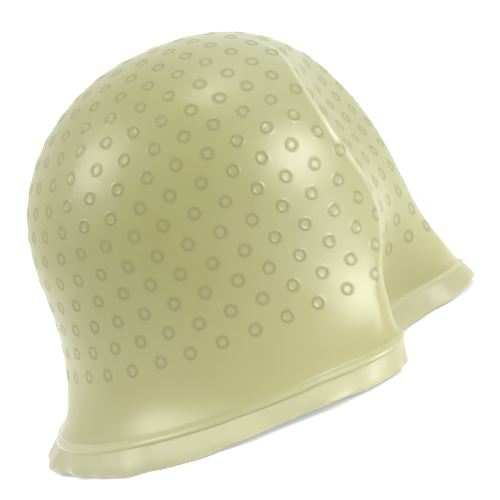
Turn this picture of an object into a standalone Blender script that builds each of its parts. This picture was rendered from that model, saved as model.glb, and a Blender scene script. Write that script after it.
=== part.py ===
"""Reusable silicone highlighting cap: a dome-shaped hair cap standing on its drip skirt.

Frame: metres, +Z up, +X towards the forehead end, -Y towards the left-hand side of the wearer.
The origin is at the bottom centre of the whole cap, and the skirt's lower edge lies on z = 0.

The cap is one soft moulding. It is split here into the zones that a person would name, from the
crown down: crown panel, upper and lower dome, upper and lower wall, plain band, rim bead and skirt.
The wall follows one formula, skin_point: a domed profile on an oval plan, pushed in by one soft
dent that runs down the front side from the crown to the rim.
"""

import math

import bmesh
import bpy
from mathutils import Vector

# Overall shape, metres
APEX_HEIGHT = 0.1845
EQUATOR_HEIGHT = 0.0925
EQUATOR_HALF_LENGTH = 0.0987
WIDTH_TO_LENGTH = 0.866
DOME_SQUARENESS = 2.08        # 2 is an ellipse, more is squarer
PLAN_SQUARENESS = 2.09        # of the oval plan, from the equator down
BODY_SPREAD = 0.0142          # growth of the half length from the equator to the bead
BODY_SPREAD_POWER = 2.14
RIM_FLARE = 0.0085            # quick outward turn just above the bead
RIM_FLARE_REACH = 0.0095      # height over which the flare dies away
LEAN = 0.0024                 # how far the apex leans towards the forehead end
BODY_OFFSET = 0.0039          # sets the body so that the whole cap is centred on the origin

# Wall, bead and skirt, metres
WALL = 0.0012
BEAD_HEIGHT = 0.0135
BEAD_HALF_HEIGHT = 0.0021
BEAD_HALF_THICKNESS = 0.0014
SKIRT_REACH = 0.0058          # how far the skirt spreads out below the bead
SKIRT_BIAS = 0.0019           # more spread at the nape end, less at the forehead end
SKIRT_TUCK = 0.0065           # less spread where the dent's near corner folds it down
SKIRT_TUCK_DIRECTION = math.radians(-50.0)
SKIRT_TUCK_WIDTH = math.radians(15.0)
SKIRT_WALL = 0.0014
GAP = 0.00035                 # between neighbouring zones

# Soft dent down the front side
DENT_DIRECTION = math.radians(-22.0)
DENT_START = 0.010            # distance from the axis where the dent fades in
DENT_FADE = 0.030
# height above the bead, depth, half width, sideways offset, crispness of the edges
DENT_STATIONS = (
    (-0.0135, 0.0512, 0.0760, 0.0010, 0.0),
    (0.000, 0.0512, 0.0760, 0.0010, 0.0),
    (0.015, 0.0376, 0.0490, -0.0053, 0.1),
    (0.030, 0.0230, 0.0416, -0.0031, 0.3),
    (0.045, 0.0116, 0.0336, 0.0013, 0.5),
    (0.058, 0.0083, 0.0311, 0.0058, 0.7),
    (0.072, 0.0087, 0.0336, 0.0089, 0.9),
    (0.086, 0.0125, 0.0398, 0.0110, 1.0),
    (0.101, 0.0162, 0.0428, 0.0123, 1.0),
    (0.119, 0.0167, 0.0411, 0.0131, 1.0),
    (0.134, 0.0124, 0.0341, 0.0134, 1.0),
    (0.148, 0.0015, 0.0236, 0.0163, 1.0),
    (0.160, 0.0000, 0.0200, 0.0180, 1.0),
)

# Zones, as stations down the skin: 0 apex, 1 equator, 2 bead, 3 skirt edge
CROWN_END = 0.38
UPPER_DOME_END = 0.68
LOWER_DOME_END = 0.98
UPPER_WALL_END = 1.34
LOWER_WALL_END = 1.70
BEAD_STATION = 2.0
SKIRT_END = 3.0

SEGMENTS = 76
BEAD_SIDES = 8
NORMAL_STEP = 0.002

SILICONE = (0.62, 0.60, 0.33)
SILICONE_DEEP = (0.55, 0.54, 0.28)
SILICONE_PALE = (0.70, 0.68, 0.44)


def smooth_step(value):
    value = min(max(value, 0.0), 1.0)
    return value * value * (3.0 - 2.0 * value)


def slope_at(stations, column, index):
    """Slope that keeps a curve through the stations free of overshoot."""
    if index in (0, len(stations) - 1):
        return 0.0
    before, here, after = stations[index - 1:index + 2]
    rise_in = (here[column] - before[column]) / (here[0] - before[0])
    rise_out = (after[column] - here[column]) / (after[0] - here[0])
    if rise_in * rise_out <= 0.0:
        return 0.0
    return 2.0 * rise_in * rise_out / (rise_in + rise_out)


def dent_value(height, column):
    """Smooth value of one column of the dent's stations at a height above the bead."""
    height = min(max(height, DENT_STATIONS[0][0]), DENT_STATIONS[-1][0])
    index = 0
    while index < len(DENT_STATIONS) - 2 and height > DENT_STATIONS[index + 1][0]:
        index += 1
    low, high = DENT_STATIONS[index], DENT_STATIONS[index + 1]
    span = high[0] - low[0]
    t = (height - low[0]) / span
    slope_low = slope_at(DENT_STATIONS, column, index) * span
    slope_high = slope_at(DENT_STATIONS, column, index + 1) * span
    keep = 1.0 - t
    value = low[column] * (1.0 + 2.0 * t) * keep * keep + slope_low * t * keep * keep
    return value + high[column] * t * t * (3.0 - 2.0 * t) - slope_high * t * t * keep


def plan_direction(angle, squareness):
    """Point of the unit oval at an angle: a circle when squareness is 2."""
    c, s = math.cos(angle), math.sin(angle)
    reach = (abs(c) ** squareness + abs(s) ** squareness) ** (-1.0 / squareness)
    return c * reach, s * reach


def profile(angle, station):
    """Half length and height of the undented cap at a station down the skin."""
    if station <= 1.0:
        turn = station * math.pi / 2.0
        power = 2.0 / DOME_SQUARENESS
        reach = EQUATOR_HALF_LENGTH * math.sin(turn) ** power
        height = EQUATOR_HEIGHT + (APEX_HEIGHT - EQUATOR_HEIGHT) * max(math.cos(turn), 0.0) ** power
        return reach, height
    if station <= 2.0:
        down = station - 1.0
        height = EQUATOR_HEIGHT + (BEAD_HEIGHT - EQUATOR_HEIGHT) * down
        flare = RIM_FLARE * math.exp(-(height - BEAD_HEIGHT) / RIM_FLARE_REACH)
        return EQUATOR_HALF_LENGTH + BODY_SPREAD * down ** BODY_SPREAD_POWER + flare, height
    out = station - 2.0
    from_tuck = math.remainder(angle - SKIRT_TUCK_DIRECTION, 2.0 * math.pi)
    reach = SKIRT_REACH - SKIRT_BIAS * math.cos(angle)
    reach -= SKIRT_TUCK * math.exp(-(from_tuck / SKIRT_TUCK_WIDTH) ** 2)
    rim = EQUATOR_HALF_LENGTH + BODY_SPREAD + RIM_FLARE
    return rim + reach * out, BEAD_HEIGHT * (1.0 - out)


def dent_shape(across, crispness):
    """Cross-section of the dent: 1 in the middle, 0 from the edges out."""
    across = abs(across)
    if across >= 1.0:
        return 0.0
    rounded = math.cos(across * math.pi / 2.0) ** 2
    crisp = 1.0 - across ** 1.6
    return (1.0 - crispness) * rounded + crispness * crisp


def skin_point(angle, station):
    """Point of the cap's outer face at an angle round it and a station down it."""
    reach, height = profile(angle, station)
    squareness = 2.0 + (PLAN_SQUARENESS - 2.0) * min(station, 1.0)
    px, py = plan_direction(angle, squareness)
    x, y = reach * px, WIDTH_TO_LENGTH * reach * py
    ux, uy = math.cos(DENT_DIRECTION), math.sin(DENT_DIRECTION)
    outward = x * ux + y * uy
    sideways = y * ux - x * uy
    above = height - BEAD_HEIGHT
    across = (sideways - dent_value(above, 3)) / dent_value(above, 2)
    depth = dent_value(above, 1) * dent_shape(across, dent_value(above, 4))
    depth *= smooth_step((outward - DENT_START) / DENT_FADE)
    tilt = min(station, 1.0) * math.pi / 2.0
    level = depth * math.sin(tilt)
    lean = LEAN * max(above / (APEX_HEIGHT - BEAD_HEIGHT), 0.0) ** 2
    x += BODY_OFFSET + lean - level * ux
    return Vector((x, y - level * uy, height - depth * math.cos(tilt)))


def skin_down(angle, station):
    """Unit direction down the skin."""
    above = skin_point(angle, station - NORMAL_STEP)
    return (skin_point(angle, station + NORMAL_STEP) - above).normalized()


def skin_normal(angle, station):
    """Unit outward normal of the skin."""
    round_cap = skin_point(angle + NORMAL_STEP, station) - skin_point(angle - NORMAL_STEP, station)
    return skin_down(angle, station).cross(round_cap).normalized()


def angles():
    return [2.0 * math.pi * k / SEGMENTS for k in range(SEGMENTS)]


def station_at_distance(angle, start, limit, distance):
    """Station between start and limit whose skin lies a straight distance from the start's."""
    origin = skin_point(angle, start)
    near, far = start, limit
    for _ in range(24):
        middle = (near + far) / 2.0
        if (skin_point(angle, middle) - origin).length < distance:
            near = middle
        else:
            far = middle
    return far


def above_bead(angle):
    """Station where the wall stops, just above the bead."""
    return station_at_distance(angle, BEAD_STATION, 1.5, BEAD_HALF_HEIGHT + GAP)


def below_bead(angle):
    """Station where the skirt starts, just below the bead."""
    return station_at_distance(angle, BEAD_STATION, SKIRT_END, BEAD_HALF_HEIGHT + GAP)


def below(station):
    """Edge of a zone that starts one gap below a station."""
    return lambda angle: station_at_distance(angle, station, station + 0.1, GAP)


def at(station):
    """Edge of a zone that lies at one station all the way round."""
    return lambda angle: station


def skin_loops(start, end, rows, wall):
    """Outer and inner loops of points, evenly spaced between two edges of a zone."""
    outer, inner = [], []
    for k in range(rows + 1):
        outer_loop, inner_loop = [], []
        for angle in angles():
            station = start(angle) + (end(angle) - start(angle)) * k / rows
            point = skin_point(angle, station)
            outer_loop.append(point)
            inner_loop.append(point - skin_normal(angle, station) * wall)
        outer.append(outer_loop)
        inner.append(inner_loop)
    return outer, inner


def bridge(mesh, upper, lower):
    """Band of quads between two closed loops of vertices."""
    count = len(upper)
    for k in range(count):
        after = (k + 1) % count
        mesh.faces.new((upper[k], lower[k], lower[after], upper[after]))


def cover(mesh, loop, tip):
    """Fan of triangles from a loop of vertices to a tip."""
    count = len(loop)
    for k in range(count):
        mesh.faces.new((tip, loop[k], loop[(k + 1) % count]))


def add_loops(mesh, loops):
    return [[mesh.verts.new(p) for p in loop] for loop in loops]


def silicone(name, colour, roughness):
    """Soft translucent silicone."""
    material = bpy.data.materials.new(name)
    material.use_nodes = True
    shader = material.node_tree.nodes["Principled BSDF"]
    shader.inputs["Base Color"].default_value = (*colour, 1.0)
    shader.inputs["Roughness"].default_value = roughness
    shader.inputs["Metallic"].default_value = 0.0
    return material


def finish_object(name, mesh, material):
    """Turn a bmesh into a smooth named object with one material."""
    bmesh.ops.recalc_face_normals(mesh, faces=mesh.faces)
    data = bpy.data.meshes.new(name)
    mesh.to_mesh(data)
    mesh.free()
    data.materials.append(material)
    data.shade_smooth()
    data.set_sharp_from_angle(angle=math.radians(40.0))
    obj = bpy.data.objects.new(name, data)
    bpy.context.scene.collection.objects.link(obj)
    return obj


def zone(name, edges, rows, wall, material, flat_foot=False):
    """Ring-shaped zone of the wall between two edges."""
    outer, inner = skin_loops(*edges, rows, wall)
    if flat_foot:
        for point in outer[-1] + inner[-1]:
            point.z = 0.0
    mesh = bmesh.new()
    outside = add_loops(mesh, outer)
    inside = add_loops(mesh, inner)
    for k in range(rows):
        bridge(mesh, outside[k], outside[k + 1])
        bridge(mesh, inside[k + 1], inside[k])
    bridge(mesh, inside[0], outside[0])
    bridge(mesh, outside[rows], inside[rows])
    return finish_object(name, mesh, material)


def crown_panel():
    """Closed top of the dome."""
    rows = 4
    outer, inner = skin_loops(at(CROWN_END / (rows + 1)), at(CROWN_END), rows, WALL)
    mesh = bmesh.new()
    outside = add_loops(mesh, outer)
    inside = add_loops(mesh, inner)
    for k in range(rows):
        bridge(mesh, outside[k], outside[k + 1])
        bridge(mesh, inside[k + 1], inside[k])
    bridge(mesh, outside[rows], inside[rows])
    apex = Vector((BODY_OFFSET + LEAN, 0.0, APEX_HEIGHT))
    cover(mesh, outside[0], mesh.verts.new(apex))
    cover(mesh, inside[0], mesh.verts.new(apex - Vector((0.0, 0.0, WALL))))
    return finish_object("crown_panel", mesh, silicone("crown_silicone", SILICONE, 0.42))


def upper_dome():
    """Top of the dome below the crown, with the upper rows of pull holes."""
    edges = below(CROWN_END), at(UPPER_DOME_END)
    material = silicone("upper_dome_silicone", SILICONE, 0.42)
    return zone("upper_dome", edges, 4, WALL, material)


def lower_dome():
    """Shoulder of the dome, where it turns down into the wall."""
    edges = below(UPPER_DOME_END), at(LOWER_DOME_END)
    material = silicone("lower_dome_silicone", SILICONE_DEEP, 0.42)
    return zone("lower_dome", edges, 4, WALL, material)


def upper_wall():
    """Nearly upright wall with the middle rows of pull holes."""
    edges = below(LOWER_DOME_END), at(UPPER_WALL_END)
    material = silicone("upper_wall_silicone", SILICONE, 0.42)
    return zone("upper_wall", edges, 3, WALL, material)


def lower_wall():
    """Nearly upright wall with the lowest rows of pull holes."""
    edges = below(UPPER_WALL_END), at(LOWER_WALL_END)
    material = silicone("lower_wall_silicone", SILICONE_DEEP, 0.42)
    return zone("lower_wall", edges, 3, WALL, material)


def plain_band():
    """Smooth band without holes, down to the bead."""
    edges = below(LOWER_WALL_END), above_bead
    material = silicone("band_silicone", SILICONE, 0.38)
    return zone("plain_band", edges, 5, WALL, material)


def rim_bead():
    """Low rib that stiffens the rim and stops dye running under the cap."""
    mesh = bmesh.new()
    sections = []
    for angle in angles():
        normal = skin_normal(angle, BEAD_STATION)
        down = skin_down(angle, BEAD_STATION)
        centre = skin_point(angle, BEAD_STATION) - normal * (WALL / 2.0)
        section = []
        for k in range(BEAD_SIDES):
            turn = 2.0 * math.pi * (k + 0.5) / BEAD_SIDES
            offset = normal * (math.cos(turn) * BEAD_HALF_THICKNESS)
            offset += down * (math.sin(turn) * BEAD_HALF_HEIGHT)
            section.append(mesh.verts.new(centre + offset))
        sections.append(section)
    for k in range(SEGMENTS):
        bridge(mesh, sections[k], sections[(k + 1) % SEGMENTS])
    return finish_object("rim_bead", mesh, silicone("bead_silicone", SILICONE_DEEP, 0.35))


def drip_skirt():
    """Thin skirt that spreads out below the bead and ends in a flat edge on z = 0."""
    edges = below_bead, at(SKIRT_END)
    material = silicone("skirt_silicone", SILICONE_PALE, 0.38)
    return zone("drip_skirt", edges, 2, SKIRT_WALL, material, flat_foot=True)


def main():
    for obj in list(bpy.data.objects):
        bpy.data.objects.remove(obj, do_unlink=True)
    crown_panel()
    upper_dome()
    lower_dome()
    upper_wall()
    lower_wall()
    plain_band()
    rim_bead()
    drip_skirt()


main()
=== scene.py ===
"""Visual model of a reusable silicone highlighting cap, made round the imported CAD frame.

The shell's wall follows the same formula as the CAD zones it replaces: a domed profile on an oval
plan, pushed in by one soft dent. Here it gets its raised pull-hole rings, a round bead and a thin
wavy skirt. Units are metres, +Z is up and the camera looks along +Y.
"""
import math

import bmesh
import bpy
import numpy as np
from mathutils import Matrix, Vector, geometry, kdtree


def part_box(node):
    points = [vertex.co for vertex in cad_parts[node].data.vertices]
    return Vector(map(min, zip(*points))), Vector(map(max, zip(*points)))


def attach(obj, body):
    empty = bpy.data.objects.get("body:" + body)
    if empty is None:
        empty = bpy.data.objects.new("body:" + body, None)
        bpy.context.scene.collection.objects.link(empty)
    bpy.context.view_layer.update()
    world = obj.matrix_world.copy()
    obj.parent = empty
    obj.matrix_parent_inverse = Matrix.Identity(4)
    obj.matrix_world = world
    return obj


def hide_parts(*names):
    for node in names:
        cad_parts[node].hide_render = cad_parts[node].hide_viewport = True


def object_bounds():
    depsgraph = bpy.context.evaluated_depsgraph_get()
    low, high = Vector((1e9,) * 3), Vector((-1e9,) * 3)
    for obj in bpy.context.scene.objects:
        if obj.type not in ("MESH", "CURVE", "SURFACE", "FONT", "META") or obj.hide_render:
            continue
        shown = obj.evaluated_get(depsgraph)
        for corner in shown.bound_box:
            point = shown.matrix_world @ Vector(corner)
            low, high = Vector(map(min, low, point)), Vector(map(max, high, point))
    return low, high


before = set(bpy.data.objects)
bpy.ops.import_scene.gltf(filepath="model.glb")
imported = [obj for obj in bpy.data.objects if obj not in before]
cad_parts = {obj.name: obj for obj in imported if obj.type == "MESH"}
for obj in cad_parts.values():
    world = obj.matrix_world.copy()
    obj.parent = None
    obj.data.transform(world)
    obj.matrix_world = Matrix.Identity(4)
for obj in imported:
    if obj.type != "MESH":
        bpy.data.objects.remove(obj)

cad_box = [list(corner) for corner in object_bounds()]

# ---------------------------------------------------------------- shape of the cap, as in CAD
APEX_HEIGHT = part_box("crown_panel")[1].z
EQUATOR_HEIGHT = 0.0925
EQUATOR_HALF_LENGTH = 0.0987
WIDTH_TO_LENGTH = 0.866
DOME_SQUARENESS = 2.08
PLAN_SQUARENESS = 2.09
BODY_SPREAD = 0.0142
BODY_SPREAD_POWER = 2.14
RIM_FLARE = 0.0085
RIM_FLARE_REACH = 0.0095
LEAN = 0.0024
BODY_OFFSET = 0.0039
WALL = 0.0012
BEAD_HEIGHT = 0.0135
SKIRT_REACH = 0.0058
SKIRT_BIAS = 0.0019
SKIRT_TUCK = 0.0065
SKIRT_TUCK_DIRECTION = math.radians(-50.0)
SKIRT_TUCK_WIDTH = math.radians(15.0)
DENT_DIRECTION = math.radians(-22.0)
DENT_START = 0.010
DENT_FADE = 0.030
# Height above the bead, depth, half width, sideways offset, crispness of the edges. The first
# station only carries the dent on below the bead, where the skirt has its own shape.
DENT_STATIONS = np.array((
    (-0.0135, 0.0634, 0.1003, 0.0067, 0.0),
    (0.000, 0.0512, 0.0760, 0.0010, 0.0),
    (0.015, 0.0376, 0.0490, -0.0053, 0.1),
    (0.030, 0.0230, 0.0416, -0.0031, 0.3),
    (0.045, 0.0116, 0.0336, 0.0013, 0.5),
    (0.058, 0.0083, 0.0311, 0.0058, 0.7),
    (0.072, 0.0087, 0.0336, 0.0089, 0.9),
    (0.086, 0.0125, 0.0398, 0.0110, 1.0),
    (0.101, 0.0162, 0.0428, 0.0123, 1.0),
    (0.119, 0.0167, 0.0411, 0.0131, 1.0),
    (0.134, 0.0124, 0.0341, 0.0134, 1.0),
    (0.148, 0.0015, 0.0236, 0.0163, 1.0),
    (0.160, 0.0000, 0.0200, 0.0180, 1.0),
))
BEAD_STATION = 2.0
LONGEST_WALL = 1.2            # stations below the equator that the wall's formula holds for

# ---------------------------------------------------------------- the dent, in finer detail
STATION_STEP = 0.0005         # spacing of the finer stations worked out between those above
STATION_BLUR = 0.0038         # rounding between the stations
STATION_BLUR_STEPS = 30       # how far the rounding reaches, in finer stations
STATION_MARGIN = 0.030        # how far the finer stations run past the first and the last
RIDGE_SOFTNESS = 0.035        # rounding of the dent's crisp edges, as a share of its half width
STEEP_EDGE_POWER = 3.2        # how abruptly the dent falls away behind its edge nearest -Y
GENTLE_EDGE_POWER = 1.6       # the same for the far edge
EDGE_FADE = 0.6               # a crisp edge's rounding ends this far outside, in half widths
LIP_HEIGHT = 0.00085          # fine raised fold along the edge nearest -Y
LIP_WIDTH = 0.034             # as a share of the dent's half width
LIP_FULL_DEPTH = 0.008        # the fold is lower where the dent is shallower than this
LIP_CRISPNESS = 0.80          # the fold starts where the edges get this crisp
LIP_FADE = 0.18               # and reaches its full height over this rise in crispness
RIDGE_STRIP = 0.13            # half width of the finely meshed strip along the fold
RIDGE_STRIP_CRISPNESS = 0.6
RIDGE_STRIP_PRESENCE = 0.02

# ---------------------------------------------------------------- soft unevenness of the moulding
WOBBLE = 0.00038
# share, then two waves that are multiplied: radians per metre along x, y and z, and the start
WOBBLE_WAVES = (
    (1.0, (71.0, 0.0, 23.0), 0.7, (0.0, 64.0, -31.0), 1.9),
    (0.6, (47.0, 0.0, 118.0), 2.2, (39.0, 96.0, 0.0), 0.4),
)

# ---------------------------------------------------------------- pull-hole rings
RING_RADIUS = 0.00265         # middle of a pull hole's raised ring
RING_WIDTH = 0.00055
RING_HEIGHT = 0.00022
RING_TINT_WIDTH = 0.00085     # width of the deeper colour along the ridge
RING_FLOOR = 0.00005          # the disc inside a ring lies this much lower
RING_FLOOR_RADIUS = 0.0012    # where the disc starts to rise again
RING_FLOOR_RISE = 0.0012      # distance over which it rises
RING_LOOPS = (0.0013, 0.0019, 0.0023, 0.00265, 0.0030, 0.0035, 0.0043)
RING_SIDES = 20
RING_CLEARANCE = 0.0053       # no plain skin points closer than this to a ring's middle
FOLD_CLEARANCE = 0.085        # no rings this close to the fine fold, in half widths of the dent
FOLD_CLEARANCE_CRISPNESS = 0.85
FOLD_CLEARANCE_PRESENCE = 0.1
FIRST_ROW = 0.0355            # skin length from the bead to the lowest row of rings
ROW_PITCH = 0.01228
HOLE_PITCH = 0.0164
PITCH_LOSS = 0.0001           # the holes come this much closer with each row
ROW_SHIFT = -0.0015           # sideways shift of the lowest row
ROW_SHIFT_ROWS = 4            # number of rows over which the shift dies away
SHAKE_ALONG = 0.00025         # small scatter of the holes along their row and down the skin
SHAKE_DOWN = 0.00020
LOOP_POINTS = 2401            # points that a row is measured with

# ---------------------------------------------------------------- meshes, bead and skirt
ROUND = 360                   # points round the rim
SKIN_SPACING = 0.0022
RIDGE_SPACING = 0.0007        # along the fine fold
INNER_ROWS = 36
INNER_START = 0.004           # skin length from the apex to the inner face's first row
# the bead's section: distance down the skin from its crest, and out from the wall's middle
BEAD_SECTION = (
    (-0.0046, 0.00054),
    (-0.0040, 0.00058),
    (-0.0034, 0.00063),
    (-0.0028, 0.00070),
    (-0.0022, 0.00082),
    (-0.0016, 0.00099),
    (-0.0010, 0.00119),
    (-0.0004, 0.00134),
    (0.0002, 0.00140),
    (0.0008, 0.00132),
    (0.0013, 0.00110),
    (0.0017, 0.00075),
    (0.0019, 0.00030),
)
BEAD_INNER_SHARE = 0.90
SKIRT_THICKNESS = 0.0010
SKIRT_THINNING = 0.25         # share of the thickness lost at the edge
SKIRT_TIP = 0.0003            # rounding of the edge
SKIRT_ROWS = 18
SKIRT_RUFFLE = 0.0016         # soft upright folds
# share, number of folds round the rim, and the start in radians
SKIRT_RUFFLE_WAVES = ((0.4, 13.0, 0.6), (0.4, 22.0, 2.1), (0.3, 37.0, 4.0))
SKIRT_EXTRA_TUCK = 0.0018     # more than in CAD, where the skirt ends in a flat edge
SKIRT_CREASE = 0.0016         # one sharp upright fold at the back
SKIRT_CREASE_DIRECTION = math.radians(-163.0)
SKIRT_CREASE_WIDTH = math.radians(5.0)
SKIRT_CREASE_SHARPNESS = 1.5
SKIRT_CREASE_REACH = 1.15     # the crease has died away just above the edge
SKIRT_CREASE_FULLNESS = 0.7
# the bulge's shape on the way down: share of the way, share of the bulge
SKIRT_SWELL = np.array(((0.0, 0.0), (0.35, 0.58), (0.62, 0.96), (0.72, 1.0), (0.82, 0.86), (1.0, 0.0)))
# direction in degrees, height of the wavy edge, outward bulge on the way down
SKIRT_WAVE = np.array((
    (-180.0, 0.0010, 0.0042),
    (-167.0, 0.0009, 0.0040),
    (-161.0, 0.0020, 0.0016),
    (-153.0, 0.0032, 0.0012),
    (-140.0, 0.0020, 0.0004),
    (-123.0, 0.0000, 0.0010),
    (-114.0, 0.0004, 0.0006),
    (-100.0, 0.0026, 0.0003),
    (-82.0, 0.0034, 0.0006),
    (-72.0, 0.0013, 0.0004),
    (-60.0, 0.0003, 0.0000),
    (-40.0, 0.0008, 0.0002),
    (-22.0, 0.0014, 0.0004),
    (-8.0, 0.0001, 0.0000),
    (8.0, 0.0033, 0.0002),
    (28.0, 0.0011, 0.0012),
    (52.0, 0.0030, 0.0004),
    (74.0, 0.0002, 0.0010),
    (98.0, 0.0026, 0.0003),
    (120.0, 0.0006, 0.0010),
    (146.0, 0.0028, 0.0006),
    (164.0, 0.0006, 0.0026),
    (180.0, 0.0010, 0.0038),
))


def smooth_step(value):
    value = np.clip(value, 0.0, 1.0)
    return value * value * (3.0 - 2.0 * value)


def smooth_stations():
    """The dent's stations as even, rounded-off curves: heights and one column per value."""
    lowest, highest = DENT_STATIONS[0, 0], DENT_STATIONS[-1, 0]
    heights = np.arange(lowest - STATION_MARGIN, highest + STATION_MARGIN, STATION_STEP)
    reach = np.arange(-STATION_BLUR_STEPS, STATION_BLUR_STEPS + 1) * STATION_STEP
    weight = np.exp(-0.5 * (reach / STATION_BLUR) ** 2)
    weight = weight / weight.sum()
    columns = []
    for values in DENT_STATIONS[:, 1:].T:
        joined = np.interp(heights, DENT_STATIONS[:, 0], values)
        padded = np.pad(joined, STATION_BLUR_STEPS, "edge")
        columns.append(np.convolve(padded, weight, "valid"))
    return heights, columns


STATION_HEIGHTS, STATION_COLUMNS = smooth_stations()


def through_stations(height, column):
    """Smooth value of one column of the dent's stations."""
    return np.interp(height, STATION_HEIGHTS, STATION_COLUMNS[column - 1])


def profile(station):
    """Half length and height of the undented cap: station 0 apex, 1 equator, 2 bead."""
    turn = np.clip(station, 0.0, 1.0) * math.pi / 2.0
    power = 2.0 / DOME_SQUARENESS
    dome_reach = EQUATOR_HALF_LENGTH * np.sin(turn) ** power
    dome_height = EQUATOR_HEIGHT + (APEX_HEIGHT - EQUATOR_HEIGHT) * np.cos(turn) ** power
    down = np.clip(station - 1.0, 0.0, LONGEST_WALL)
    wall_height = EQUATOR_HEIGHT + (BEAD_HEIGHT - EQUATOR_HEIGHT) * down
    flare = RIM_FLARE * np.exp(-(wall_height - BEAD_HEIGHT) / RIM_FLARE_REACH)
    wall_reach = EQUATOR_HALF_LENGTH + BODY_SPREAD * down ** BODY_SPREAD_POWER + flare
    on_dome = station < 1.0
    return np.where(on_dome, dome_reach, wall_reach), np.where(on_dome, dome_height, wall_height)


def dent_shape(across, crispness):
    """Cross-section of the dent: 1 in the middle, 0 from the edges out."""
    power = np.where(across < 0.0, STEEP_EDGE_POWER, GENTLE_EDGE_POWER)
    across = np.abs(across)
    rounded = np.cos(np.minimum(across, 1.0) * math.pi / 2.0) ** 2
    inside = 1.0 - across ** power
    crisp = 0.5 * (inside + np.sqrt(inside * inside + RIDGE_SOFTNESS ** 2))
    faded = crisp * (1.0 - smooth_step((across - 1.0) / EDGE_FADE))
    crisp = np.where(across < 1.0 + EDGE_FADE, faded, 0.0)
    return (1.0 - crispness) * rounded + crispness * crisp


def fold(across, crispness):
    """How far points lie on the fine raised fold along the dent's edge."""
    presence = smooth_step((crispness - LIP_CRISPNESS) / LIP_FADE)
    return np.exp(-((across + 1.0) / LIP_WIDTH) ** 2) * presence


def wobble(point):
    """Soft unevenness of the moulding, in metres along the normal."""
    total = 0.0
    for share, first, first_start, second, second_start in WOBBLE_WAVES:
        total = total + share * np.sin(point @ first + first_start) * np.sin(point @ second + second_start)
    return WOBBLE * total


def undented(angle, station):
    """Coordinates of the cap's outer face before it is dented and leans."""
    reach, height = profile(station)
    squareness = 2.0 + (PLAN_SQUARENESS - 2.0) * np.clip(station, 0.0, 1.0)
    c, s = np.cos(angle), np.sin(angle)
    oval = (np.abs(c) ** squareness + np.abs(s) ** squareness) ** (-1.0 / squareness)
    return reach * oval * c, WIDTH_TO_LENGTH * reach * oval * s, height


def skin(angle, station):
    """Points of the cap's outer face at angles round it and stations down it."""
    angle, station = np.broadcast_arrays(np.asarray(angle, float), np.asarray(station, float))
    x, y, height = undented(angle, station)
    ux, uy = math.cos(DENT_DIRECTION), math.sin(DENT_DIRECTION)
    above = height - BEAD_HEIGHT
    across, crispness, presence = dent_place(x, y, above)
    full_depth = through_stations(above, 1)
    lip = LIP_HEIGHT * fold(across, crispness) * np.minimum(full_depth / LIP_FULL_DEPTH, 1.0)
    depth = (full_depth * dent_shape(across, crispness) - lip) * presence
    tilt = np.clip(station, 0.0, 1.0) * math.pi / 2.0
    level = depth * np.sin(tilt)
    lowered = height - depth * np.cos(tilt)
    lean = LEAN * np.maximum(above / (APEX_HEIGHT - BEAD_HEIGHT), 0.0) ** 2
    return np.stack((x + BODY_OFFSET + lean - level * ux, y - level * uy, lowered), -1)


def dent_place(x, y, above):
    """Where points lie across the dent, how crisp its edges are there and how present it is."""
    ux, uy = math.cos(DENT_DIRECTION), math.sin(DENT_DIRECTION)
    outward, sideways = x * ux + y * uy, y * ux - x * uy
    across = (sideways - through_stations(above, 3)) / through_stations(above, 2)
    return across, through_stations(above, 4), smooth_step((outward - DENT_START) / DENT_FADE)


# ---------------------------------------------------------------- chart of the skin
# The skin is unrolled onto a flat disc that keeps angles: the apex is at its middle, and its
# radius grows so that a small circle on the skin stays a circle on the disc.

CHART_STEPS = 1600
CHART_OVERRUN = 0.03          # stations that the chart runs on past the bead
CHART_ROUND = 181             # points that the loops are measured with
CHART_CENTRE_STEPS = 8        # steps at the apex that are taken as flat
SLOPE_STEP = 0.0004           # step on the chart that slopes are taken over


def length_along(points):
    """Length from the first point of a line to each of its points."""
    return np.r_[0.0, np.cumsum(np.linalg.norm(np.diff(points, axis=0), axis=1))]


def chart_table():
    """Stations with their skin length from the apex, loop length and chart radius."""
    station = np.linspace(0.0, BEAD_STATION + CHART_OVERRUN, CHART_STEPS)
    length = length_along(skin(np.full(CHART_STEPS, math.pi), station))
    angles = np.linspace(-math.pi, math.pi, CHART_ROUND)
    loops = skin(angles[None, :], station[:, None])
    around = np.linalg.norm(np.diff(loops, axis=1), axis=2).sum(1)
    mean_radius = np.maximum(around / (2.0 * math.pi), 1e-9)
    first = CHART_CENTRE_STEPS
    growth = np.diff(length[first:]) * 2.0 / (mean_radius[first:-1] + mean_radius[first + 1:])
    radius = np.empty(CHART_STEPS)
    radius[first:] = length[first] * np.exp(np.r_[0.0, np.cumsum(growth)])
    radius[:first] = length[:first]
    return station, length, around, radius


STATION, LENGTH, AROUND, CHART_RADIUS = chart_table()
LENGTH_AT_BEAD = float(np.interp(BEAD_STATION, STATION, LENGTH))


def chart_at(angle, station):
    """Chart points at angles round the cap and stations down it."""
    radius = np.interp(station, STATION, CHART_RADIUS)
    return np.stack((radius * np.cos(angle), radius * np.sin(angle)), -1)


def place_on_cap(chart):
    """Angles and stations of chart points."""
    radius = np.hypot(chart[..., 0], chart[..., 1])
    angle = np.arctan2(chart[..., 1], chart[..., 0])
    return angle, np.interp(radius, CHART_RADIUS, STATION)


def skin_on_chart(chart):
    """Skin points of chart points."""
    return skin(*place_on_cap(chart))


def dent_place_on_chart(chart):
    """Dent place of chart points."""
    x, y, height = undented(*place_on_cap(chart))
    return dent_place(x, y, height - BEAD_HEIGHT)


def chart_slopes(chart):
    """How the skin point moves with each chart axis."""
    slopes = []
    for step in np.eye(2) * SLOPE_STEP:
        change = skin_on_chart(chart + step) - skin_on_chart(chart - step)
        slopes.append(change / (2.0 * SLOPE_STEP))
    return slopes


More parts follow.
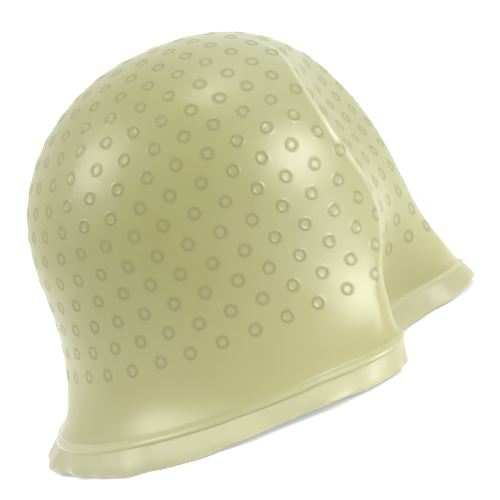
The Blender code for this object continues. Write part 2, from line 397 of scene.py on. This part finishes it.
def chart_normals(chart):
    """Outward normals of the skin at chart points."""
    along_u, along_v = chart_slopes(chart)
    normal = np.cross(along_u, along_v)
    return normal / np.linalg.norm(normal, axis=-1, keepdims=True)


def surface(chart, relief=0.0):
    """Finished outer face: the skin with its unevenness, raised by a relief."""
    point = skin_on_chart(chart)
    lift = wobble(point) + relief
    return point + chart_normals(chart) * np.asarray(lift)[..., None]


# ---------------------------------------------------------------- pull-hole rings

def ring_centres():
    """Chart points of the pull holes: staggered rows at an even pitch, up to the crown."""
    length = length_along(skin(np.full(CHART_STEPS, -0.5 * math.pi), STATION))
    total = float(np.interp(BEAD_STATION, STATION, length))
    shake = np.random.default_rng(7)
    centres = []
    row = 0
    while True:
        from_apex = total - FIRST_ROW - ROW_PITCH * row
        if from_apex < 0.5 * ROW_PITCH:
            break
        station = float(np.interp(from_apex, length, STATION))
        angle = np.linspace(-0.5 * math.pi, 1.5 * math.pi, LOOP_POINTS)
        along = length_along(skin(angle, station))
        count = max(3, round(along[-1] / (HOLE_PITCH - PITCH_LOSS * row)))
        places = (np.arange(count) + 0.5 * (row % 2)) / count * along[-1]
        places = places + ROW_SHIFT * max(0.0, 1.0 - row / ROW_SHIFT_ROWS)
        places = (places + shake.normal(0.0, SHAKE_ALONG, count)) % along[-1]
        lengths = from_apex + shake.normal(0.0, SHAKE_DOWN, count)
        angles, stations = np.interp(places, along, angle), np.interp(lengths, length, STATION)
        centres.append(chart_at(angles, stations))
        row += 1
    if from_apex > -0.5 * ROW_PITCH:
        centres.append(np.zeros((1, 2)))
    centres = np.concatenate(centres)
    across, crispness, presence = dent_place_on_chart(centres)
    on_fold = np.abs(across + 1.0) < FOLD_CLEARANCE
    on_fold &= (crispness > FOLD_CLEARANCE_CRISPNESS) & (presence > FOLD_CLEARANCE_PRESENCE)
    return centres[~on_fold]


def ring_relief(radius):
    """Height of a ring's relief at distances from its middle."""
    ridge = RING_HEIGHT * np.exp(-((radius - RING_RADIUS) / RING_WIDTH) ** 2)
    floor = RING_FLOOR * (1.0 - smooth_step((radius - RING_FLOOR_RADIUS) / RING_FLOOR_RISE))
    return ridge - floor


def ring_chart_points(centres):
    """Chart points of each ring's loops, shaped (ring, loop, side, 2)."""
    along_u, along_v = chart_slopes(centres)
    tangent = along_u / np.linalg.norm(along_u, axis=-1, keepdims=True)
    normal = np.cross(along_u, along_v)
    normal = normal / np.linalg.norm(normal, axis=-1, keepdims=True)
    across = np.cross(normal, tangent)
    turn = 2.0 * math.pi * np.arange(RING_SIDES) / RING_SIDES
    radii = np.array(RING_LOOPS)
    a = radii[:, None] * np.cos(turn)[None, :]
    b = radii[:, None] * np.sin(turn)[None, :]
    # a step (a, b) in the tangent plane as a step on the chart
    slope = np.stack((along_u, along_v), -1)
    inverse = np.linalg.pinv(slope)
    plane = np.stack((tangent, across), -1)
    to_chart = inverse @ plane
    steps = np.einsum("kij,jls->klsi", to_chart, np.stack((a, b)))
    return centres[:, None, None, :] + steps


# ---------------------------------------------------------------- meshes

def new_object(name, vertices, faces, material):
    """Smooth-shaded object with one material."""
    data = bpy.data.meshes.new(name)
    data.from_pydata(np.asarray(vertices, float).tolist(), [], faces)
    data.validate()
    data.materials.append(material)
    data.shade_smooth()
    obj = bpy.data.objects.new(name, data)
    bpy.context.scene.collection.objects.link(obj)
    return obj


def loop_faces(first, second, count):
    """Quads between two closed loops of vertex numbers, given by their first vertex."""
    k = np.arange(count)
    after = (k + 1) % count
    return np.stack((first + k, second + k, second + after, first + after), 1).tolist()


def even_points(spacing):
    """Chart points spread evenly over the skin, in staggered rows."""
    rows = int(LENGTH_AT_BEAD / spacing)
    points = []
    for row in range(1, rows):
        length = LENGTH_AT_BEAD * row / rows
        count = max(6, round(float(np.interp(length, LENGTH, AROUND)) / spacing))
        angle = 2.0 * math.pi * (np.arange(count) + 0.5 * (row % 2)) / count
        points.append(chart_at(angle, np.interp(length, LENGTH, STATION)))
    return np.concatenate(points)


def near_ridge(chart):
    """Whether chart points lie by the fine fold along the dent's edge."""
    across, crispness, presence = dent_place_on_chart(chart)
    in_strip = np.abs(across + 1.0) < RIDGE_STRIP
    return in_strip & (crispness > RIDGE_STRIP_CRISPNESS) & (presence > RIDGE_STRIP_PRESENCE)


def plain_skin_points(centres):
    """Chart points of the skin between the rings, evenly spread."""
    tree = kdtree.KDTree(len(centres))
    for index, point in enumerate(skin_on_chart(centres)):
        tree.insert(point, index)
    tree.balance()
    coarse, fine = even_points(SKIN_SPACING), even_points(RIDGE_SPACING)
    points = np.concatenate((coarse[~near_ridge(coarse)], fine[near_ridge(fine)]))
    places = skin_on_chart(points)
    free = [tree.find(place)[2] > RING_CLEARANCE for place in places]
    return points[np.array(free)]


def round_angles():
    """Evenly spread angles round the cap."""
    return 2.0 * math.pi * np.arange(ROUND) / ROUND


def plain_skin_faces(flat, edge_count, rings, sides):
    """Triangles between the skin's flat chart points, with a hole left for each ring."""
    constraints = []
    for ring in range(rings):
        first = edge_count + ring * sides
        constraints += [(first + k, first + (k + 1) % sides) for k in range(sides)]
    result = geometry.delaunay_2d_cdt([Vector(p) for p in flat], constraints, [], 0, 1e-7)
    if len(result[0]) != len(flat):
        raise RuntimeError("the skin's points were merged: spread them further apart")
    order = np.array([group[0] for group in result[3]])
    triangles = order[np.array(result[2])]
    owner = np.full(len(flat), -1)
    owner[edge_count:edge_count + rings * sides] = np.repeat(np.arange(rings), sides)
    owned = owner[triangles]
    same = (owned[:, 0] == owned[:, 1]) & (owned[:, 0] == owned[:, 2])
    return triangles[~(same & (owned[:, 0] >= 0))].tolist()


def ring_faces(rings, inner_loops, sides, first_rim, first_inner):
    """Faces of every ring: a fan in the middle, then bands out to the hole's own edge."""
    first_middle = first_inner + rings * inner_loops * sides
    faces = []
    for ring in range(rings):
        start = first_inner + ring * inner_loops * sides
        faces += [(first_middle + ring, start + k, start + (k + 1) % sides) for k in range(sides)]
        for loop in range(inner_loops - 1):
            faces += loop_faces(start + loop * sides, start + (loop + 1) * sides, sides)
        faces += loop_faces(start + (inner_loops - 1) * sides, first_rim + ring * sides, sides)
    return faces


def inner_face(first):
    """Points and faces of the smooth inner face; first is its first vertex's number."""
    length = np.linspace(INNER_START, LENGTH_AT_BEAD, INNER_ROWS)
    grid = chart_at(round_angles()[None, :], np.interp(length, LENGTH, STATION)[:, None])
    points = surface(grid, np.full(grid.shape[:2], -WALL)).reshape(-1, 3)
    points = np.concatenate((points, surface(np.zeros((1, 2)), np.full(1, -WALL))))
    tip = first + INNER_ROWS * ROUND
    faces = []
    for row in range(INNER_ROWS - 1):
        faces += loop_faces(first + (row + 1) * ROUND, first + row * ROUND, ROUND)
    faces += [(tip, first + (k + 1) % ROUND, first + k) for k in range(ROUND)]
    return points, faces


def add_attribute(obj, name, values):
    """Store a number for each point of an object's mesh, for its material to read."""
    obj.data.attributes.new(name, "FLOAT", "POINT").data.foreach_set("value", values)


def make_shell(material):
    """Dome, wall and plain band as one closed soft wall, with every pull-hole ring raised."""
    centres = ring_centres()
    loops = ring_chart_points(centres)
    rings, loop_count, sides = loops.shape[:3]
    # the skin's points are its lower edge, the rings' outer loops and the plain skin, then come
    # the rings' inner loops and middles, and last the inner face
    edge = chart_at(round_angles(), BEAD_STATION)
    flat = np.concatenate((edge, loops[:, -1].reshape(-1, 2), plain_skin_points(centres)))
    inner_loops = loops[:, :-1]
    radii = np.array(RING_LOOPS[:-1])
    relief = np.broadcast_to(ring_relief(radii)[None, :, None], inner_loops.shape[:3])
    raised = surface(inner_loops, relief).reshape(-1, 3)
    middles = surface(centres, np.full(rings, float(ring_relief(0.0))))
    first_inner = len(flat)
    first_inside = first_inner + len(raised) + rings
    inside, inside_faces = inner_face(first_inside)
    vertices = np.concatenate((surface(flat), raised, middles, inside))
    faces = plain_skin_faces(flat, ROUND, rings, sides)
    faces += ring_faces(rings, loop_count - 1, sides, ROUND, first_inner)
    faces += inside_faces
    # the lower edge, hidden in the bead
    faces += loop_faces(0, first_inside + (INNER_ROWS - 1) * ROUND, ROUND)
    shell = new_object("cap_shell", vertices, faces, material)
    # how far each point belongs to a ring's thicker ridge, and to the fine fold, which gets a painted
    # highlight
    ridge = np.zeros(len(vertices), np.float32)
    tint = np.exp(-((radii - RING_RADIUS) / RING_TINT_WIDTH) ** 2)
    ridge[first_inner:first_inner + len(raised)] = np.tile(np.repeat(tint, sides), rings)
    add_attribute(shell, "ring_ridge", ridge)
    crease = np.zeros(len(vertices), np.float32)
    across, crispness, presence = dent_place_on_chart(flat)
    crease[:len(flat)] = fold(across, crispness) * presence
    add_attribute(shell, "fold_painted_highlight", crease)
    return shell


def closed_tube(name, sections, material):
    """Closed mesh of sections that run round the rim; sections is (round, side, 3)."""
    count, sides = sections.shape[:2]
    faces = []
    for k in range(count):
        here, there = k * sides, (k + 1) % count * sides
        faces += [(here + j, here + (j + 1) % sides, there + (j + 1) % sides, there + j)
                  for j in range(sides)]
    obj = new_object(name, sections.reshape(-1, 3), faces, material)
    mesh = bmesh.new()
    mesh.from_mesh(obj.data)
    bmesh.ops.recalc_face_normals(mesh, faces=mesh.faces)
    mesh.to_mesh(obj.data)
    mesh.free()
    return obj


def make_bead(material):
    """Rib along the rim: it swells softly out of the wall above and ends in a groove below."""
    distance, proud = np.array(BEAD_SECTION).T
    length = LENGTH_AT_BEAD + np.r_[distance, distance[::-1]]
    proud = np.r_[proud, -BEAD_INNER_SHARE * proud[::-1]]
    chart = chart_at(round_angles()[:, None], np.interp(length, LENGTH, STATION)[None, :])
    relief = np.broadcast_to(proud - 0.5 * WALL, chart.shape[:2])
    return closed_tube("rim_bead_round", surface(chart, relief), material)


def skirt_wave(angle):
    """Height of the skirt's edge and its bulge at angles round it."""
    turn = np.degrees(np.angle(np.exp(1j * angle)))
    directions = SKIRT_WAVE[:, 0]
    low = np.clip(np.searchsorted(directions, turn) - 1, 0, len(directions) - 2)
    blend = smooth_step((turn - directions[low]) / (directions[low + 1] - directions[low]))
    values = SKIRT_WAVE[low, 1:] * (1.0 - blend[:, None]) + SKIRT_WAVE[low + 1, 1:] * blend[:, None]
    return values[:, 0], values[:, 1]


def direction_from(angle, direction):
    """Angles measured from a direction, between minus and plus half a turn."""
    return np.angle(np.exp(1j * (angle - direction)))


def skirt_spread(angle, steps):
    """How far the skirt stands out from the bead, at angles round it and steps down it."""
    reach = SKIRT_REACH - SKIRT_BIAS * np.cos(angle)
    from_tuck = direction_from(angle, SKIRT_TUCK_DIRECTION)
    reach = reach - (SKIRT_TUCK + SKIRT_EXTRA_TUCK) * np.exp(-(from_tuck / SKIRT_TUCK_WIDTH) ** 2)
    for share, turns, start in SKIRT_RUFFLE_WAVES:
        reach = reach + SKIRT_RUFFLE * share * np.sin(turns * angle + start)
    bulge = skirt_wave(angle)[1]
    from_crease = np.abs(direction_from(angle, SKIRT_CREASE_DIRECTION))
    crease = np.maximum(0.0, 1.0 - from_crease / SKIRT_CREASE_WIDTH) ** SKIRT_CREASE_SHARPNESS
    fullness = np.sin(math.pi * np.minimum(steps * SKIRT_CREASE_REACH, 1.0)) ** SKIRT_CREASE_FULLNESS
    out = reach[:, None] * steps + bulge[:, None] * np.interp(steps, *SKIRT_SWELL.T)
    return out + SKIRT_CREASE * crease[:, None] * fullness


def make_skirt(material):
    """Thin wavy skirt below the bead."""
    angle = round_angles()
    steps = np.linspace(0.0, 1.0, SKIRT_ROWS + 1)
    chart = chart_at(angle, BEAD_STATION)
    top = surface(chart, np.full(ROUND, -0.5 * WALL))
    level = chart_normals(chart) * np.array((1.0, 1.0, 0.0))
    level = level / np.linalg.norm(level, axis=1, keepdims=True)
    drop = top[:, 2] - skirt_wave(angle)[0] - 0.5 * SKIRT_THICKNESS
    middle = top[:, None] + level[:, None] * skirt_spread(angle, steps)[..., None]
    middle[..., 2] = top[:, None, 2] - drop[:, None] * steps
    along = np.gradient(middle, axis=1)
    round_rim = np.roll(middle, -1, axis=0) - np.roll(middle, 1, axis=0)
    face = np.cross(along, round_rim)
    face = face / np.linalg.norm(face, axis=-1, keepdims=True)
    half = 0.5 * SKIRT_THICKNESS * (1.0 - SKIRT_THINNING * steps)[None, :, None]
    outside = middle + face * half
    inside = middle - face * half
    last = along[:, -1:] / np.linalg.norm(along[:, -1:], axis=-1, keepdims=True)
    tip = middle[:, -1:] + last * SKIRT_TIP
    sections = np.concatenate((outside, tip, inside[:, ::-1]), axis=1)
    return closed_tube("drip_skirt_wavy", sections, material)


# ---------------------------------------------------------------- material

# deep and pale colour, and roughness
SHELL_LOOK = ((0.216, 0.204, 0.056), (0.281, 0.288, 0.182), 0.37)
# the bead's colours are paler than the wall's as a painted highlight along the rim
BEAD_LOOK_WITH_PAINTED_HIGHLIGHT = ((0.29, 0.28, 0.135), (0.34, 0.34, 0.21), 0.24)
SKIRT_LOOK = ((0.372, 0.358, 0.222), (0.286, 0.274, 0.162), 0.44)
# paleness at shares of the cap's height and of its length: partly thinner silicone, partly painted light
# where the softboxes brighten the crown and both ends
PALE_AND_LIT_BY_HEIGHT = (
    (0.0, 0.10),
    (0.12, 0.14),
    (0.30, 0.12),
    (0.45, 0.08),
    (0.66, 0.0),
    (0.86, 0.22),
    (1.0, 0.44),
)
PALE_AND_LIT_BY_LENGTH = (
    (0.0, 0.80),
    (0.18, 0.40),
    (0.40, 0.0),
    (0.58, 0.20),
    (0.74, 0.54),
    (1.0, 0.62),
)
# the colour at the foot of the wall, and its share by height
FOOT_COLOUR = (0.288, 0.275, 0.128)
FOOT_BY_HEIGHT = (
    (0.0, 0.90),
    (0.14, 0.85),
    (0.28, 0.55),
    (0.44, 0.0),
    (1.0, 0.0),
)
CLOUDINESS = 0.12             # how far soft clouds shift the paleness
CLOUD_SCALE = 15.0
CLOUD_RANGE = (0.3, 0.7)      # the noise's useful values
GREEN_TINGE = (0.965, 1.0, 0.980)
WARM_TINGE = (1.005, 1.0, 0.970)
TINGE_SCALE = 11.0
TINGE_RANGE = (0.35, 0.65)
EVEN = ((0.0, 0.0), (0.5, 0.5), (1.0, 1.0))
RING_DEEPENING = 0.62         # the rings' thicker ridges tend to this share of the deep colour
RING_TINT = 0.56
# painted highlight along the fine fold, and how strongly it shows
FOLD_PAINTED_HIGHLIGHT = (0.40, 0.40, 0.29)
FOLD_HIGHLIGHT_STRENGTH = 0.75
GRAIN_SCALE = 700.0


def mix_colour(tree, factor, first, second, blend="MIX"):
    """Blend of two colours by a number socket, or in full; a colour is a socket or numbers."""
    mix = tree.nodes.new("ShaderNodeMix")
    mix.data_type = "RGBA"
    mix.blend_type = blend
    mix.inputs[0].default_value = 1.0
    if factor is not None:
        tree.links.new(factor, mix.inputs[0])
    for socket, colour in ((mix.inputs[6], first), (mix.inputs[7], second)):
        if isinstance(colour, bpy.types.NodeSocket):
            tree.links.new(colour, socket)
        else:
            socket.default_value = (*colour, 1.0)
    return mix.outputs[2]


def graded(tree, value, low, high, stops):
    """Smooth curve through stops of a value that runs from low to high."""
    scale = tree.nodes.new("ShaderNodeMapRange")
    scale.inputs["From Min"].default_value = low
    scale.inputs["From Max"].default_value = high
    tree.links.new(value, scale.inputs["Value"])
    curve = tree.nodes.new("ShaderNodeValToRGB")
    curve.color_ramp.interpolation = "B_SPLINE"
    for position, _ in stops[1:-1]:
        curve.color_ramp.elements.new(position)
    for element, (position, level) in zip(curve.color_ramp.elements, stops):
        element.position = position
        element.color = (level, level, level, 1.0)
    tree.links.new(scale.outputs[0], curve.inputs["Fac"])
    return curve.outputs["Color"]


def added(tree, first, second):
    """Sum of two number sockets, kept between 0 and 1."""
    total = tree.nodes.new("ShaderNodeMath")
    total.operation = "ADD"
    total.use_clamp = True
    tree.links.new(first, total.inputs[0])
    tree.links.new(second, total.inputs[1])
    return total.outputs[0]


def noise(tree, place, scale, detail):
    """Soft noise at a place, as a number socket."""
    texture = tree.nodes.new("ShaderNodeTexNoise")
    texture.inputs["Scale"].default_value = scale
    texture.inputs["Detail"].default_value = detail
    tree.links.new(place, texture.inputs["Vector"])
    return texture.outputs["Fac"]


def attribute(tree, name, strength):
    """A mesh attribute's value, scaled."""
    source = tree.nodes.new("ShaderNodeAttribute")
    source.attribute_name = name
    scale = tree.nodes.new("ShaderNodeMath")
    scale.operation = "MULTIPLY"
    scale.inputs[1].default_value = strength
    tree.links.new(source.outputs["Fac"], scale.inputs[0])
    return scale.outputs[0]


def silicone_colour(tree, place, deep, pale, is_shell):
    """Cloudy colour: deepest halfway up, paler towards the crown and both ends, a paleness that is partly
    painted light, with a painted highlight along the fine fold.
    """
    split = tree.nodes.new("ShaderNodeSeparateXYZ")
    tree.links.new(place, split.inputs[0])
    # paler crown and ends: partly thinner silicone, partly painted light from the softboxes
    pale_and_lit_by_height = graded(tree, split.outputs["Z"], 0.0, APEX_HEIGHT, PALE_AND_LIT_BY_HEIGHT)
    pale_and_lit_by_length = graded(tree, split.outputs["X"], cad_box[0][0], cad_box[1][0], PALE_AND_LIT_BY_LENGTH)
    shift = tree.nodes.new("ShaderNodeMapRange")
    shift.inputs["From Min"].default_value = CLOUD_RANGE[0]
    shift.inputs["From Max"].default_value = CLOUD_RANGE[1]
    shift.inputs["To Min"].default_value = -CLOUDINESS
    shift.inputs["To Max"].default_value = CLOUDINESS
    tree.links.new(noise(tree, place, CLOUD_SCALE, 2.0), shift.inputs["Value"])
    paleness_and_painted_light = added(tree, added(tree, pale_and_lit_by_height, pale_and_lit_by_length), shift.outputs[0])
    colour = mix_colour(tree, paleness_and_painted_light, deep, pale)
    if is_shell:
        foot = graded(tree, split.outputs["Z"], 0.0, APEX_HEIGHT, FOOT_BY_HEIGHT)
        colour = mix_colour(tree, foot, colour, FOOT_COLOUR)
    warmth = graded(tree, noise(tree, place, TINGE_SCALE, 1.0), *TINGE_RANGE, EVEN)
    tinge = mix_colour(tree, warmth, GREEN_TINGE, WARM_TINGE)
    colour = mix_colour(tree, None, colour, tinge, "MULTIPLY")
    if is_shell:
        dark = [RING_DEEPENING * value for value in deep]
        colour = mix_colour(tree, attribute(tree, "ring_ridge", RING_TINT), colour, dark)
        # painted highlight along the fine fold
        colour = mix_colour(tree, attribute(tree, "fold_painted_highlight", FOLD_HIGHLIGHT_STRENGTH), colour, FOLD_PAINTED_HIGHLIGHT)
    return colour


def silicone(name, deep, pale, roughness, is_shell=False):
    """Soft translucent silicone with a satin face and a fine moulded texture."""
    material = bpy.data.materials.new(name)
    material.use_nodes = True
    tree = material.node_tree
    shader = tree.nodes["Principled BSDF"]
    place = tree.nodes.new("ShaderNodeTexCoord").outputs["Object"]
    colour = silicone_colour(tree, place, deep, pale, is_shell)
    tree.links.new(colour, shader.inputs["Base Color"])
    bump = tree.nodes.new("ShaderNodeBump")
    bump.inputs["Strength"].default_value = 0.05
    bump.inputs["Distance"].default_value = 0.0003
    tree.links.new(noise(tree, place, GRAIN_SCALE, 2.0), bump.inputs["Height"])
    tree.links.new(bump.outputs["Normal"], shader.inputs["Normal"])
    shader.inputs["Roughness"].default_value = roughness
    shader.inputs["IOR"].default_value = 1.41
    shader.inputs["Specular IOR Level"].default_value = 0.70
    shader.inputs["Sheen Weight"].default_value = 0.13
    shader.inputs["Sheen Roughness"].default_value = 0.4
    # the scattering is kept shallow, so that no dark seams show where the pieces meet
    shader.inputs["Subsurface Weight"].default_value = 1.0
    shader.inputs["Subsurface Radius"].default_value = (1.0, 0.95, 0.55)
    shader.inputs["Subsurface Scale"].default_value = 0.0014
    return material


# ---------------------------------------------------------------- studio

WORLD_STRENGTH = 1.0
FLOOR_GLOW = 0.35
FLOOR_HALF = 40.0
LIT_CENTRE = Vector((0.0, 0.0, 0.09))
SOFTBOX_DISTANCE = 1.3
# name, direction from the cap, width and height, radiance
SOFTBOXES = (
    ("right_softbox", (0.76, -0.61, 0.22), (0.50, 0.50), 19.0),
    ("top_softbox", (0.27, -0.18, 0.94), (0.30, 0.30), 13.0),
    ("left_softbox", (-0.66, -0.20, 0.70), (0.54, 0.66), 9.5),
)
CAMERA_TARGET = Vector((0.0142, 0.0, 0.0670))
CAMERA_DISTANCE = 0.80
CAMERA_ELEVATION = math.radians(9.0)
CAMERA_ROLL = math.radians(21.9)
CAMERA_LENS = 108.7           # millimetres, on a sensor 36 mm wide


def make_studio():
    """White surroundings and a plain pale floor that glows a little, as a light table does."""
    world = bpy.data.worlds.new("studio")
    bpy.context.scene.world = world
    world.use_nodes = True
    world.node_tree.nodes["Background"].inputs["Color"].default_value = (1.0, 1.0, 1.0, 1.0)
    world.node_tree.nodes["Background"].inputs["Strength"].default_value = WORLD_STRENGTH
    paint = bpy.data.materials.new("floor_white")
    paint.use_nodes = True
    shader = paint.node_tree.nodes["Principled BSDF"]
    shader.inputs["Base Color"].default_value = (0.80, 0.80, 0.80, 1.0)
    shader.inputs["Emission Color"].default_value = (1.0, 1.0, 1.0, 1.0)
    shader.inputs["Emission Strength"].default_value = FLOOR_GLOW
    shader.inputs["Roughness"].default_value = 0.9
    shader.inputs["Specular IOR Level"].default_value = 0.2
    signs = ((-1, -1), (1, -1), (1, 1), (-1, 1))
    corners = [(FLOOR_HALF * x, FLOOR_HALF * y, 0.0) for x, y in signs]
    new_object("studio_floor", corners, [(0, 1, 2, 3)], paint)


def softbox(name, towards, size, radiance):
    """Area light that shines on the cap from a direction."""
    direction = Vector(towards).normalized()
    light = bpy.data.lights.new(name, "AREA")
    light.shape = "RECTANGLE"
    light.size, light.size_y = size
    light.energy = radiance * math.pi * size[0] * size[1]
    obj = bpy.data.objects.new(name, light)
    bpy.context.scene.collection.objects.link(obj)
    obj.visible_camera = False
    obj.location = LIT_CENTRE + direction * SOFTBOX_DISTANCE
    obj.rotation_euler = direction.to_track_quat("Z", "Y").to_euler()


def make_camera():
    """Camera at a low angle, rolled so that the forehead end stands higher in the picture."""
    back = Vector((0.0, -math.cos(CAMERA_ELEVATION), math.sin(CAMERA_ELEVATION)))
    camera = bpy.data.objects.new("camera", bpy.data.cameras.new("camera"))
    bpy.context.scene.collection.objects.link(camera)
    place = Matrix.Translation(CAMERA_TARGET + back * CAMERA_DISTANCE)
    turn = back.to_track_quat("Z", "Y").to_matrix().to_4x4()
    camera.matrix_world = place @ turn @ Matrix.Rotation(-CAMERA_ROLL, 4, "Z")
    camera.data.sensor_width = 36.0
    camera.data.lens = CAMERA_LENS
    bpy.context.scene.camera = camera


def main():
    shell = make_shell(silicone("shell_silicone_look", *SHELL_LOOK, is_shell=True))
    # the bead's paler colours are a painted highlight
    bead = make_bead(silicone("bead_silicone_look", *BEAD_LOOK_WITH_PAINTED_HIGHLIGHT))
    skirt = make_skirt(silicone("skirt_silicone_look", *SKIRT_LOOK))
    for piece in (shell, bead, skirt):
        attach(piece, "root")
    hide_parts("crown_panel", "upper_dome", "lower_dome", "upper_wall", "lower_wall", "plain_band")
    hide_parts("rim_bead")
    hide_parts("drip_skirt")
    make_studio()
    for name, towards, size, radiance in SOFTBOXES:
        softbox(name, towards, size, radiance)
    make_camera()
    bpy.context.scene.view_settings.view_transform = "Standard"


main()
